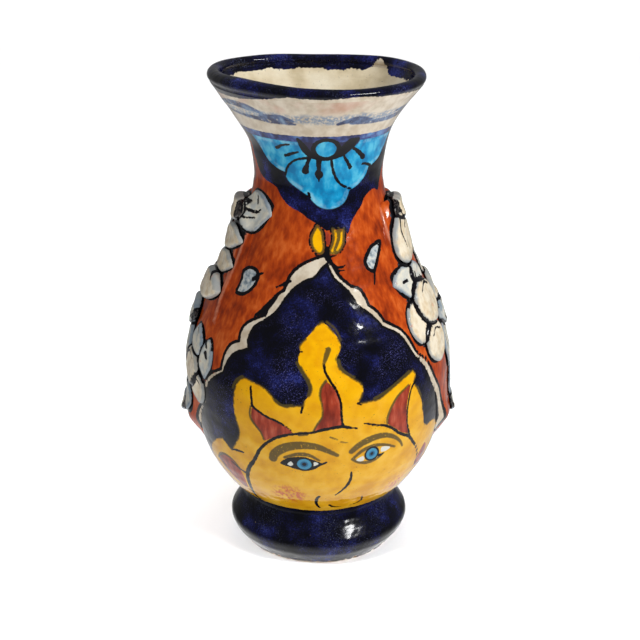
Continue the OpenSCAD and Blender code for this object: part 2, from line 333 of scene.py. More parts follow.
# The red darts on the face: three under the tall flames, and one at each side
TRIANGLES = (
    ([(3.2, 113.2), (6, 110), (8.4, 106), (9.3, 101), (9.3, 95), (10, 90.3)],
     [(5, 89), (1, 88), (-2.3, 86.8)],
     [(-0.6, 91), (1.3, 94.5), (1.8, 98), (1.4, 102), (0.6, 106), (1.2, 110), (3.2, 113.2)]),
    ([(-29, 97.3), (-25.5, 95), (-22, 93), (-18, 91.6), (-14, 89.3), (-10.5, 86)],
     [(-15, 84.3), (-19, 82.4), (-23.7, 79.5)],
     [(-24.8, 82.7), (-27.4, 86), (-29.2, 89.5), (-29.6, 93), (-29, 97.3)]),
    ([(43.5, 105), (42, 100), (41, 95), (41, 90), (42, 84), (43.7, 77.5)],
     [(39, 80), (34.5, 84), (30.8, 87)],
     [(31, 91), (33, 96), (36.5, 101), (43.5, 105)]),
    ([(-58.5, 57), (-54.5, 61), (-50, 62.8), (-45, 61.8), (-41.5, 58)],
     [(-40.6, 51), (-42.5, 43.5)],
     [(-47, 43.5), (-53, 50), (-58.5, 57)]),
    ([(60, 66), (63.5, 62), (65, 56), (64, 50)],
     [(58.5, 52), (56, 57), (60, 66)]),
)

# Black brush lines of the face and the flames, as points and widths
FACE_LINES = (
    ([(-41.5, 33.5), (-41, 40), (-39, 48), (-37, 55), (-34.3, 60.5), (-30, 67), (-27, 73), (-23.3, 78),
      (-19, 81.8), (-14, 84.4)], (1.3, 2.0, 2.2, 1.7, 1.3, 1.5)),
    ([(-14, 84.4), (-8, 85.9), (-3, 86.5), (2, 88.2), (8, 89.4), (12, 89), (16.5, 87.8)],
     (1.0, 1.1, 1.6, 0.8)),
    ([(19.5, 90), (25, 88), (30, 86.4), (34, 83.5), (38, 79.6), (44, 75.8), (48, 71), (52, 66), (56, 59),
      (58, 50), (58.5, 40), (58, 34)], (0.8, 1.3, 1.5, 1.2, 0.9)),
    ([(-46, 60), (-40, 56.6), (-37, 55.5)], (0.8, 1.6)),
    ([(-43, 68.6), (-39.5, 69.2), (-35.5, 69.3)], (0.6, 1.5, 0.5)),
    ([(-30, 107), (-29.5, 102), (-29, 97.5)], (0.9, 1.2)),
    ([(-29, 97.3), (-25.5, 95), (-22, 93), (-18, 91.6), (-14, 89.3), (-11.5, 87.2)], (1.3, 1.0, 1.0, 0.6)),
    ([(-6.6, 100.4), (-7.2, 97)], (1.0, 0.7)),
    ([(-9.2, 126.3), (-7.3, 126.4)], (0.8, 0.6)),
    ([(2.4, 120.5), (3, 117), (5, 113), (7.8, 107.5), (9.3, 102), (9.6, 95), (10.3, 90.5), (12, 88.8)],
     (1.0, 1.2, 0.9, 1.2)),
    ([(16.6, 101), (18.6, 99.8)], (1.1, 0.5)),
    ([(46, 105), (43.6, 102), (42, 97), (41.3, 90), (42.2, 83), (44.5, 76.5)], (1.0, 0.9, 0.8, 0.9)),
    ([(15.2, 62.2), (15.4, 58.5), (14.2, 54), (11.8, 50), (8.8, 46.8)], (0.9, 1.5, 0.7)),
    ([(0.2, 46.2), (-1.2, 43), (-1.1, 39.5), (0.9, 35.6)], (1.6, 1.4, 0.9)),
    ([(6.4, 38.5), (8.8, 36.6), (14, 35.8)], (1.5, 1.3, 0.5)),
    ([(20, 36), (24, 37.8), (25.8, 40), (24.6, 43)], (0.5, 1.2, 0.6)),
    ([(1, 68.2), (3.4, 69.4)], (1.2, 0.9)),
    ([(28, 70), (30.5, 70.6)], (1.6, 0.6)),
)

# Olive brush lines: the brows and eyelids, the darts' edges, and the crease in the right drop
OLIVE_LINES = (
    ([(-20.5, 70), (-19.3, 73.2), (-15, 77), (-10, 78.9), (-5, 79.3), (0, 78.4), (4, 76.2), (8.2, 73.4)],
     (4.2, 4.8, 4.2, 3.0, 1.8)),
    ([(14.5, 75), (18, 78.3), (23, 80.6), (28, 81.3), (32, 80.3), (36, 77.8), (39, 74.6), (40.8, 71.5)],
     (2.8, 3.6, 2.8, 1.6, 1.0)),
    ([(-15, 71.5), (-9, 74), (-4, 73.6), (0.5, 70.6)], (1.4, 2.2, 0.9)),
    ([(15, 70.2), (19.5, 74.6), (25, 76.4), (31, 75.2), (36.2, 72.5)], (1.3, 2.0, 1.5, 1.0)),
    ([(15, 70.2), (18.5, 67.8), (23, 67), (27, 68.2), (30, 70.6)], (1.3, 1.7, 1.0)),
    ([(-8, 85.6), (-5, 86)], (2.2, 2.0)),
    ([(4.5, 127.6), (3.4, 124.5), (2.2, 120.8)], (2.4, 2.2, 1.0)),
    ([(3.2, 113.2), (1.2, 110), (0.6, 106), (1.4, 102), (1.8, 98), (1.3, 94.5), (-0.6, 91), (-2.3, 86.8)],
     (1.2, 0.7, 0.8)),
    ([(30.6, 87), (30.6, 91), (32.5, 96), (36, 101), (42, 104.6)], (0.8, 1.2, 0.8)),
    ([(-29.8, 97), (-30.2, 92), (-28.6, 88.5), (-25.6, 84.6), (-24, 80)], (0.9, 1.1, 0.8)),
    ([(-58.5, 57), (-54.5, 61), (-50, 62.8), (-45, 61.8), (-41.5, 58)], (1.5, 1.2)),
    ([(5, 84), (8, 82.5)], (0.8, 0.5)),
    ([(9.5, 81), (12.5, 80.2)], (0.7, 0.4)),
    ([(15, 180.5), (14.4, 176), (11, 171.2)], (1.7, 1.5, 1.2)),
)

# The flames' brushed olive shading, laid along their edges
FLAME_SHADES = (
    ([(-9.6, 121.5), (-7, 117), (-4.6, 113), (-3.6, 109.5), (-4.4, 106)], (1.2, 1.6, 1.0)),
    ([(8.8, 122.5), (9.5, 119.4), (12, 116.3), (15.4, 114)], (1.6, 1.2)),
    ([(-39.4, 104), (-37.6, 108.4), (-34.6, 110.8)], (1.2, 1.6)),
    ([(-18.5, 102.4), (-15.4, 100.1), (-11, 100.7)], (1.4, 1.0)),
    ([(24, 102.2), (30, 104.6), (37, 108.2), (43, 111)], (1.2, 1.5)),
    ([(47.5, 101.6), (50.3, 95.5), (52.4, 88)], (1.2, 1.0)),
    ([(4, 139.6), (8, 136.6), (10.6, 131.5)], (1.0, 0.8)),
)

# The dark of the left eye, and the whites at the corners of both eyes
LEFT_EYE = (
    [(-18, 67.6), (-14, 71), (-8, 72.7), (-3, 71.4), (2, 68.7)],
    [(-1, 65.8), (-5.5, 64.1), (-11, 65.1), (-18, 67.6)],
)
EYE_WHITES = (
    [(-14.2, 67.7), (-12.2, 69.4), (-11.3, 67.6), (-12.6, 66.6), (-14.2, 67.7)],
    [(-2.3, 67.2), (-1.9, 69.9), (0.1, 68.6), (-2.3, 67.2)],
    [(16.6, 69.7), (20, 71.2), (20.6, 68.6), (18.2, 68.4), (16.6, 69.7)],
    [(28.6, 71.8), (29, 74.6), (33.6, 73.2), (31, 71.6), (28.6, 71.8)],
)

# The half flower on the neck: the dark ground behind it, its petals and its dusky middle
NAVY = (
    [(-76, 227), (-74.5, 219), (-71, 212), (-66.5, 206.5), (-60, 202.4), (-50, 200.2), (-40, 198.5),
     (-33, 194), (-25, 190.5), (-15, 188), (-7, 185), (0, 182.5), (6, 180)],
    [(13, 180.5), (20, 180)],
    [(22, 178), (26, 182.8), (32, 186.8), (38, 190), (43, 193.5), (50, 195.6), (57, 196), (62, 194)],
    [(66, 196.5), (72, 201.5), (79, 208), (85, 216), (88, 227)],
    [(-76, 227)],
)

FLOWER = (
    [(-63, 223), (-58.5, 219.5), (-53, 215), (-45, 210.6), (-36, 208), (-29.5, 207)],
    [(-28.3, 204), (-25, 201.8), (-18, 199.2), (-11, 196.8), (-8, 196)],
    [(-4, 193), (2, 190.6), (9, 189.8), (17, 190.8), (23, 193.2), (27.3, 198)],
    [(33, 199.2), (40, 201.8), (45, 204.8), (47, 208)],
    [(52, 208.9), (60, 211), (67, 215), (72, 219.5), (75, 223)],
    [(-63, 223)],
)

FLOWER_HEART = (
    [(-16.5, 225), (-12, 220), (-7, 216), (-2, 214.2), (6, 213.6), (13, 214.2), (20, 215.8), (27, 218.6),
     (32, 221.5), (33, 223.5), (29, 225.2)],
    [(-16.5, 225)],
)

# Black brush lines on and around the flower
FLOWER_LINES = (
    ([(-15.6, 224.4), (-11, 219.6), (-6.5, 216.4), (0, 214.6)], (1.6, 3.6, 2.6, 1.6)),
    ([(13, 215.4), (19, 217.8), (26, 222), (31, 223.6)], (2.0, 4.6, 5.6, 2.0)),
    ([(-23.5, 221.3), (-30, 220.4), (-35.8, 218.7)], (0.8, 1.1, 1.7)),
    ([(-16.5, 217.6), (-22, 216.7), (-28, 215.2)], (0.8, 1.1, 1.6)),
    ([(-7, 215), (-9.2, 212), (-11, 208.4)], (1.4, 1.6, 3.4)),
    ([(0.3, 214.5), (0.2, 209), (0.3, 206.6)], (2.6, 1.8, 3.8)),
    ([(0.3, 207), (0.3, 203.2)], (3.6, 0.4)),
    ([(21, 215.5), (24, 212.6), (27.2, 209.4)], (1.2, 1.4, 1.8)),
    ([(28.5, 219.2), (34, 216.8), (39, 213.8)], (1.4, 1.8, 2.6)),
    ([(-8, 215), (-14, 214.4), (-20, 213.3), (-25, 211), (-28, 208.4), (-29.3, 205.5)], (1.2, 0.9, 1.1)),
    ([(10.5, 213.5), (12, 209), (14.5, 205), (18, 202), (23, 199.9), (28.5, 198.6)], (1.2, 1.1, 1.0)),
    ([(39, 210.3), (43, 210), (49, 208.6)], (0.9, 1.4)),
    ([(-8.6, 197.2), (-6.8, 195.2)], (1.4, 0.5)),
)

# The yellow drops under the flower, and the red diamond between them
LEFT_DROP = (
    [(-1.2, 182.4), (2.2, 180), (3.3, 176.5), (3.7, 172.4)],
    [(2.6, 169.7)],
    [(-1.6, 170.6), (-4.6, 173.6), (-4.9, 177.6), (-1.2, 182.4)],
)
RIGHT_DROP = (
    [(10.2, 180.8), (10.8, 176.5), (8.8, 172.6), (6.4, 170.4)],
    [(10, 169.4), (14, 170.6), (17.6, 174), (19.3, 180.4)],
    [(15, 179.6), (10.2, 180.8)],
)
DIAMOND = ([(6, 180), (9.6, 177)], [(7.4, 173.2)], [(4.6, 174.6)], [(4.4, 178), (6, 180)])

# The grey petals painted on the terracotta
LEFT_PETAL = (
    [(-51, 157), (-47, 159), (-41.5, 158.6), (-39, 156.2)],
    [(-41, 151.6), (-46, 148), (-51.5, 147.4)],
    [(-50.4, 152), (-51, 157)],
)
RIGHT_PETAL = (
    [(46.8, 171.5), (40, 170.3), (35, 167.6), (32, 164.3), (33, 161.5), (36, 160)],
    [(41, 165.4), (46.8, 171.5)],
)

# Height of the ragged lower edge of the lip's cobalt, at degrees from the front
LIP_EDGE = (
    (-90, 242), (-50, 242.8), (-32, 244.6), (-16, 246.8), (3, 246.2), (22, 247.2), (38, 246),
    (51, 245.6), (76, 244.5), (90, 243),
)

# Brushed blue washes of the neck's upper stripe, and small accents on the terracotta
WASHES = (
    ([(-88, 236.6), (-72, 238.6), (-58, 239.2), (-46, 238.2), (-38, 236.4)], (1.6, 3.4, 4.2, 1.6)),
    ([(-80, 234.4), (-52, 233.6), (-34, 233.2), (-16, 232.4)], (1.0, 2.0, 3.4, 1.2)),
    ([(-40, 235), (-25, 235.4), (-17, 234)], (2.4, 3.6, 1.6)),
    ([(13, 232.8), (20, 234.2), (27, 235), (36, 233.6)], (1.8, 3.6, 2.0)),
    ([(22, 233), (44, 232.6), (66, 233.4), (86, 236)], (2.2, 2.6, 3.6, 2.4)),
    ([(58, 236), (72, 236.6), (88, 237.6)], (1.6, 2.8, 2.4)),
)
ACCENTS = (
    ([(9, 164.8), (12.5, 163.2), (17, 164)], (1.6, 1.2, 0.6)),
    ([(11, 162), (16.5, 162)], (1.2, 0.6)),
    ([(-25, 153.6), (-20.5, 155.4), (-17, 157)], (0.6, 1.6, 1.4)),
    ([(-22, 151.6), (-26, 147), (-29, 143.4), (-34, 139.8)], (0.8, 2.8, 3.4, 1.0)),
    ([(-41.6, 155), (-38, 157.8), (-35.5, 158.6)], (2.2, 1.4, 0.6)),
    ([(34, 153.4), (35.5, 156.5), (36.5, 159)], (0.5, 0.8, 0.9)),
    ([(6, 170.4), (4.6, 168.8), (8, 165)], (2.4, 2.0, 1.4)),
    ([(6, 172), (4.4, 169.4)], (1.6, 1.6)),
)
# The pinched ridges of clay beside the relief; the glaze along them is also painted paler, partly as a
# painted highlight
RIDGES = (
    ([(-58, 178), (-59.5, 166), (-61, 152), (-61, 140), (-59, 130)], (0.8, 1.3, 0.6)),
    ([(-65, 170), (-64, 158), (-62.5, 145), (-60.5, 131)], (0.8, 1.2, 0.6)),
    ([(60, 186), (57.5, 178), (57, 170), (59, 162)], (0.6, 1.2, 0.8)),
)

DROP_EDGES = (("olive", 0.7, 0.7), ("ink", 1.3, -0.5))
PETAL_EDGE = ("ink", 1.6, 0.3)

# Filled outlines, as the field, the outline and the lines along its edge
AREAS = (
    ("cream", PANEL_EDGE, ("ink", 1.5, 0.2)), ("panel", COBALT_EDGE, ("ink", 0.2, 1.1)),
    ("sun", SUN, ("flame_edge", 0.6, 0.6)), *(("red", triangle) for triangle in TRIANGLES),
    ("ink", LEFT_EYE), *(("white", [white]) for white in EYE_WHITES),
    ("navy", NAVY), ("flower", FLOWER), ("dusk", FLOWER_HEART), ("red", DIAMOND),
    ("yellow", LEFT_DROP, *DROP_EDGES), ("yellow", RIGHT_DROP, *DROP_EDGES),
    ("grey", LEFT_PETAL, PETAL_EDGE), ("grey", RIGHT_PETAL, PETAL_EDGE),
)
STROKES = (
    ("ink", FACE_LINES + FLOWER_LINES + ACCENTS), ("olive", OLIVE_LINES + FLAME_SHADES),
    ("wash", WASHES), ("ridge", RIDGES),
)
DISCS = (
    ("iris", (-6.3, 68.2), 3.6, 3.3), ("iris", (24.2, 71.8), 3.1, 3.3),
    ("cheek", (-15.5, 46.5), 8.5, 7.0), ("cheek", (46, 46), 5.5, 5.0),
    ("ink", (6, 219.6), 7.2, 6.2), ("heart", (6, 219.6), 4.9, 4.1),
)
FIELDS = (
    "panel", "cream", "sun", "red", "flame_edge", "olive", "ink", "white", "iris", "cheek",
    "navy", "flower", "dusk", "heart", "yellow", "grey", "wash", "ridge",
)
RIM_LINE = 0.6             # width of the black line painted around each sprig
SPRIG_GAP = 1.8            # widest gap between sprigs that is painted in
NOTCH_AT = 142             # degrees to the place where the cobalt was left off inside the lip
NOTCH_WIDTH = 5            # degrees over which it fades


def folded(degrees):
    """The back repeats the front."""
    return (degrees + 90) % 180 - 90


def cream_notch(degrees):
    """1 where the cobalt was left off inside the lip, and 0 away from there."""
    return np.exp(-((degrees - NOTCH_AT) / NOTCH_WIDTH) ** 2)


def above_lip_edge(degrees, height):
    return height - np.interp(folded(degrees), *zip(*LIP_EDGE))


def paint(degrees, height, radius, sprig_lines):
    """Every painted field at points on the wall, with the black lines around the sprigs."""
    p = Painting(folded(degrees), height, radius, FIELDS)
    p.fields["drip"] = above_lip_edge(degrees, height)
    for area in AREAS:
        p.area(*area)
    for disc in DISCS:
        p.disc(*disc)
    for field, lines in STROKES:
        for points, widths in lines:
            p.stroke(field, points, widths)
    bouquet = Painting((degrees + 180) % 360 - 180, height, radius, ("nearest", "next"))
    for line in sprig_lines:
        at, depth = bouquet.signed(line)
        bouquet.put("next", at, np.minimum(bouquet.fields["nearest"][at], depth))
        bouquet.put("nearest", at, depth)
    p.put("ink", slice(None), bouquet.fields["nearest"] + RIM_LINE)
    p.fields["between"] = bouquet.fields["next"] + SPRIG_GAP
    return p.fields


# ------------------------------------------------------------------ meshes

JOIN_ANGLE = math.radians(60)      # sharpest bend over which triangles are joined to quads
END_FADE = 8               # millimetres over which the wall's unevenness fades at its ends
RIPPLE = 0.02              # height of the throwing ripples
RIPPLE_TURN = 0.75         # radians of ripple in a millimetre of height
RIPPLE_LEAN = 0.8          # radians by which a ripple rises and falls around the wall
RIDGE_RISE = 0.55          # how far the pinched ridges of the relief stand proud
RIDGE_SLOPE = 1.4          # millimetres over which they rise


def spaced(*stretches):
    """Values through stretches of (start, end, step), and the last end."""
    values = [
        np.linspace(a, b, max(1, round(abs(b - a) / step)), endpoint=False) for a, b, step in stretches
    ]
    return np.concatenate(values + [[stretches[-1][1]]])


def around(radius, degrees, height):
    a = np.radians(degrees)
    return np.stack(np.broadcast_arrays(radius * np.sin(a), -radius * np.cos(a), height), -1)


def waves(a, rows):
    """The sum of waves given as height, count around the axis and turn."""
    return sum(size * np.sin(count * a + turn) for size, count, turn in rows)


def lumps(points, size, seed):
    """Smooth unevenness from -1 to 1 at points in millimetres, with features of one size."""
    shift = Vector((seed * 17.3, seed * 5.1, seed * 9.7))
    values = [noise.noise(Vector(p) / size + shift) for p in points.reshape(-1, 3)]
    return np.array(values).reshape(points.shape[:-1])


def placed(name, data):
    """A new object in the scene."""
    thing = bpy.data.objects.new(name, data)
    bpy.context.scene.collection.objects.link(thing)
    return thing


def smooth_mesh(name, points, corner=40):
    """A closed tube of stacked rings of points, shaded smooth except at corners sharper than an angle."""
    rings, count = points.shape[:2]
    a = np.arange(rings * count).reshape(rings, count)
    right, above = np.roll(a, -1, 1), np.roll(a, -1, 0)
    faces = np.stack([a, right, np.roll(above, -1, 1), above], -1).reshape(-1, 4).tolist()
    mesh = bpy.data.meshes.new(name)
    mesh.from_pydata((points.reshape(-1, 3) * MM).tolist(), [], faces)
    mesh.shade_smooth()
    mesh.set_sharp_from_angle(angle=math.radians(corner))
    return placed(name, mesh)


def modelled(name, node):
    """A subdivided, smooth copy of a CAD node's mesh."""
    work = welded(node)
    bmesh.ops.join_triangles(
        work, faces=work.faces, angle_face_threshold=JOIN_ANGLE, angle_shape_threshold=JOIN_ANGLE
    )
    mesh = bpy.data.meshes.new(name)
    work.to_mesh(mesh)
    work.free()
    piece = placed(name, mesh)
    subdivide = piece.modifiers.new("smooth", "SUBSURF")
    subdivide.levels = subdivide.render_levels = 2
    ready = piece.evaluated_get(bpy.context.evaluated_depsgraph_get())
    piece.data = bpy.data.meshes.new_from_object(ready)
    piece.modifiers.clear()
    piece.data.shade_smooth()
    return piece


def push(piece, points, amount):
    """Moves each point of a piece along its normal, by millimetres."""
    moved = points + read(piece, "normal") * amount[:, None]
    piece.data.vertices.foreach_set("co", (moved * MM).astype(np.float32).ravel())
    piece.data.update()


def set_fields(piece, fields):
    for name, values in fields.items():
        attribute = piece.data.attributes.new(name, "FLOAT", "POINT")
        attribute.data.foreach_set("value", np.asarray(values, np.float32).ravel())


def finish_piece(piece, node, slot, *materials):
    for material in materials:
        piece.data.materials.append(material)
    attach(piece, "root")
    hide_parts(node)


def thrown(degrees, height):
    """Throwing ripples and slow unevenness of the wall, in millimetres, none at its two ends."""
    a = np.radians(degrees)
    ends = np.clip((height - waist_z) / END_FADE, 0, 1) * np.clip((neck_top - height) / END_FADE, 0, 1)
    ripple = RIPPLE * np.sin(height * RIPPLE_TURN + RIPPLE_LEAN * np.sin(a))
    return ends * (ripple + waves(a, ((0.12, 2, height / 31), (0.08, 3, -height / 17))))


def rising(field, width):
    """0 outside a painted shape and 1 inside it, over a width across its edge."""
    return np.clip(0.5 + field / width, 0, 1)


def ridge_rise(ridge):
    """How far the wall rises, where the pinched ridges are."""
    u = rising(ridge, RIDGE_SLOPE)
    return RIDGE_RISE * u * u * (3 - 2 * u)


def wall_piece(name, node, slot, z_rows, inner_rows, under, sprig_lines):
    """A painted stretch of the wall, with its glazed inside and any rings that close it underneath."""
    degrees = AROUND_WALL
    radius = wall.outside(z_rows, degrees) + thrown(degrees[None, :], z_rows[:, None])
    deg, height = np.broadcast_arrays(degrees[None, :], z_rows[:, None])
    painted = paint(deg.ravel(), height.ravel(), radius.ravel(), sprig_lines)
    radius = radius + ridge_rise(painted["ridge"]).reshape(radius.shape)
    inside = wall.inside(inner_rows, degrees)
    points = np.concatenate(
        [around(radius, degrees, height), around(inside, degrees, inner_rows[:, None])]
        + [around(r, degrees, z)[None] for r, z in under]
    )
    rings, count = points.shape[:2]
    piece = smooth_mesh(name, points)
    hidden = (rings - len(z_rows)) * count
    set_fields(piece, {k: np.append(v, np.full(hidden, FAR)) for k, v in painted.items()})
    set_fields(piece, {"notch": np.tile(cream_notch(degrees), rings)})
    finish_piece(piece, node, slot, painted_glaze, inner_glaze)
    inner_face = np.repeat(np.arange(rings) >= len(z_rows) - 1, count)
    piece.data.polygons.foreach_set("material_index", inner_face.astype(np.int32))


def relief_ground(side, sprig_lines):
    """The raised bed of one bouquet, painted with the wall around it."""
    node = f"{side}_relief_ground"
    piece = modelled(f"{side}_bouquet_ground", node)
    points = points_of(piece)
    fields = paint(*unrolled(points), sprig_lines)
    push(piece, points, ridge_rise(fields["ridge"]) + GROUND_LUMPS * lumps(points, size=9, seed=3))
    set_fields(piece, fields)
    finish_piece(piece, node, "relief_glaze", painted_glaze)


# Dark marks on a sprig, in shares of its half width and half height from its middle,
# where positive widths are towards the face of the vase that the sprig is on
VEINS = {
    "top_leaf": (
        ([(-0.5, 0.1), (0.0, 0.02), (0.3, 0.12)], (1.0, 1.6, 0.8)),
        ([(-0.4, -0.3), (0.1, -0.25)], (1.0, 0.5)), ([(-0.1, 0.75), (0.0, 0.4)], (1.2, 0.6)),
    ),
    "pointed_leaf": (
        ([(-0.05, 0.15), (0.25, 0.1)], (1.6, 1.4)), ([(-0.6, -0.5), (-0.5, -0.05)], (1.2, 0.6)),
    ),
    "long_petal": (
        ([(0.15, 0.9), (0.4, 0.3), (0.2, -0.35)], (1.8, 1.2, 0.5)),
        ([(-0.5, 0.7), (-0.1, 0.35)], (1.8, 0.8)),
    ),
    "side_leaf": (([(0.0, 0.3), (0.2, 0.1)], (2.6, 1.8)), ([(-0.2, 0.8), (0.0, 0.55)], (1.8, 0.8))),
    "round_petal": (([(0.3, 0.9), (0.5, 0.5)], (1.6, 0.5)),),
    "oval_petal": (([(-0.5, 0.6), (-0.1, 0.75), (0.35, 0.45)], (0.9, 1.2, 0.7)),),
    "low_petal": (([(-0.5, 0.45), (0.0, 0.6), (0.4, 0.35)], (0.9, 0.8)),),
    "diamond_leaf": (([(0.0, 0.7), (0.1, 0.2)], (1.2, 0.5)),),
    "strip_leaf": (([(0.3, 0.8), (0.25, 0.0), (0.2, -0.6)], (1.4, 1.0, 0.6)),),
    "long_leaf": (([(-0.1, 0.85), (0.0, 0.1), (-0.1, -0.6)], (1.4, 1.2, 0.6)),),
    "bud": (([(0.3, 0.3), (0.5, -0.2), (0.1, -0.5), (-0.3, -0.2)], (1.0, 1.6, 1.0)),),
    "tail_leaf": (([(0.0, 0.8), (0.1, 0.0)], (1.6, 0.7)),),
    "thin_leaf": (([(0.0, 0.85), (0.0, 0.1)], (1.6, 0.6)),),
}
# Dark scratched hollows, as their middle in the same shares, and half their width and height
HOLLOWS = {
    "top_knob": (((0.85, 0.1), 6.0, 7.5),), "left_crown_bud": (((0.85, 0.0), 4.5, 4.5),),
    "tail_tip": (((0.8, 0.1), 4.5, 4.0),),
}
# Tips: 0 for towards its own face or 1 for upright, the way it points, and how far it is drawn out
TIPS = {
    "top_leaf": (0, 1, 0.75), "pointed_leaf": (0, 1, 0.8), "upper_petal": (0, 1, 0.4),
    "middle_petal": (0, 1, 0.4), "round_petal": (0, 1, 0.3), "long_petal": (1, -1, 0.35),
    "long_leaf": (1, -1, 0.7), "strip_leaf": (1, -1, 0.7), "thin_leaf": (1, -1, 0.6),
    "tail_leaf": (1, -1, 0.6), "side_leaf": (1, -1, 0.5), "diamond_leaf": (1, 1, 0.6),
    "low_petal": (1, -1, 0.3), "under_petal": (1, -1, 0.3), "crown_bud": (0, 1, 0.5),
    "tail_tip": (0, -1, 0.5),
}
RIM_STEPS = 4              # rings from a sprig's middle out to its rim
TIP_WIDTH = 0.25           # share of the half width, on either side, that is drawn out
CONTACT_LINE = 0.75        # width of the black line where a sprig meets the clay beside it
CONTACT_SHARE = 0.4        # most of a thin sprig's own height that this line covers
BOWL = 3                   # how far from its rim a sprig's modelling reaches its full depth
SPRIG_LUMPS = 0.4          # height of a sprig's unevenness
SPRIG_SUNK = 0.1           # how far its face is pressed in
DISH = 0.3                 # share of its height by which its middle is dished
DISH_FROM, DISH_OVER = 1, 4            # where the dish begins, in from the rim, and the width of its slope
HOLLOW_DEPTH, HOLLOW_SLOPE = 0.9, 1.5  # how deep the scratched hollows are, and the width of their slope
VEIN_DEPTH, VEIN_SLOPE = 0.3, 1.2      # and the same of the veins
GROUND_LUMPS = 0.25        # height of the ground's unevenness


def rim_of(node):
    """The outline of a sprig, as a closed line of degrees and height."""
    work = welded(node)
    busiest = sorted(work.verts, key=lambda v: -len(v.link_edges))[:2]
    ring = {max(busiest, key=lambda v: v.co.xy.length)}
    seen = set(ring)
    for _ in range(RIM_STEPS):
        ring = {e.other_vert(v) for v in ring for e in v.link_edges} - seen
        seen |= ring
    walk = [min(ring, key=lambda v: v.index)]
    while len(walk) < len(ring):
        beside = (e.other_vert(walk[-1]) for e in walk[-1].link_edges)
        walk.append(next(v for v in beside if v in ring and v not in walk))
    degrees, height, _ = unrolled(np.array([v.co[:] for v in walk]) / MM)
    work.free()
    line = np.stack([degrees, height], -1)
    line = filled_in(np.vstack([line[-1:], line, line[:2]]), 2)
    return np.vstack([line, line[:1]])


def detail(table, node):
    """The row of a table with the longest name that a node's name ends with."""
    names = [name for name in table if node.endswith(name)]
    return table[max(names, key=len)] if names else ()


def clearance(points, node):
    """How far each point of a sprig is from the clay that it rests on or touches."""
    side = node.split("_")[0]
    work = bmesh.new()
    for other, piece in cad.items():
        if other.startswith(side) and other != node:
            work.from_mesh(piece.data)
    beside = BVHTree.FromBMesh(work)
    work.free()
    return np.array([beside.find_nearest(Vector(p) * MM)[3] for p in points]) / MM


def frame_of(line, node):
    """The middle of a sprig, and its half width towards its own face of the vase and half height."""
    middle = (line.max(0) + line.min(0)) / 2
    own_face = np.sign(middle[0]) * (1 if "back" in node else -1)
    return middle, (line.max(0) - line.min(0)) / 2 * (own_face, 1)


def drawn_out(places, line, node, axis, way, amount):
    """Places on a sprig after one side of it is drawn out to a tip."""
    middle, half = frame_of(line, node)
    share = (places - middle) / half
    pull = amount * (TIP_WIDTH - np.abs(share[:, 1 - axis])) * np.clip(way * share[:, axis], 0, 1)
    share[:, axis] *= 1 + pull
    return middle + share * half


def sprig(node, line):
    """A clay petal or leaf with its dark rim, veins and hollow, on its side of the vase."""
    piece = modelled(f"{node}_sprig", node)
    points = points_of(piece)
    tip = detail(TIPS, node)
    if tip:
        degrees, height, radius = unrolled(points)
        degrees, height = drawn_out(np.stack([degrees, height], -1), line, node, *tip).T
        points = around(radius, degrees, height)
        line = drawn_out(line, line, node, *tip)
    p = Painting(*unrolled(points), ("rim", "ink", "hollow", "along"))
    p.put("rim", *p.signed(line))
    away = clearance(points, node)
    p.put("ink", slice(None), min(CONTACT_LINE, CONTACT_SHARE * away.max()) - away)

    middle, half = frame_of(line, node)
    p.fields["along"] = (p.z - middle[1]) / half[1]
    for marks, widths in detail(VEINS, node):
        p.stroke("ink", middle + np.array(marks) * half, widths)
    for centre, half_wide, half_high in detail(HOLLOWS, node):
        p.disc("hollow", middle + np.array(centre) * half, half_wide, half_high)

    bowl = np.clip(p.fields["rim"] / BOWL, 0, 1)
    modelling = bowl * (SPRIG_LUMPS * lumps(points, size=6, seed=7) - SPRIG_SUNK)
    dish = DISH * np.clip(away, 0, BOWL) * np.clip((p.fields["rim"] - DISH_FROM) / DISH_OVER, 0, 1)
    hollow = HOLLOW_DEPTH * rising(p.fields["hollow"], HOLLOW_SLOPE)
    vein = VEIN_DEPTH * bowl * rising(p.fields["ink"], VEIN_SLOPE)
    push(piece, points, modelling - dish - hollow - vein)
    set_fields(piece, p.fields)
    if node.endswith(("leaf", "bud", "tip")):
        finish_piece(piece, node, "leaf_glaze", leaf_glaze)
    else:
        finish_piece(piece, node, "petal_glaze", petal_glaze)


LIP_ARC = (-42, 216)       # degrees of the roll's round section, from outside low over to inside low
LIP_RINGS = 24             # rings of points over the roll
LIP_BROADER = 0.4          # how much larger the roll is at its largest, at the front left
LIP_BROAD_AT = -50         # degrees to that place
LIP_BROAD_WIDTH = 42       # degrees over which it fades
LIP_GAP = 0.5              # how much sooner the cobalt ends at the notch, in shares of the roll
LIP_UNEVEN = 0.4           # share of the unevenness that moves the roll


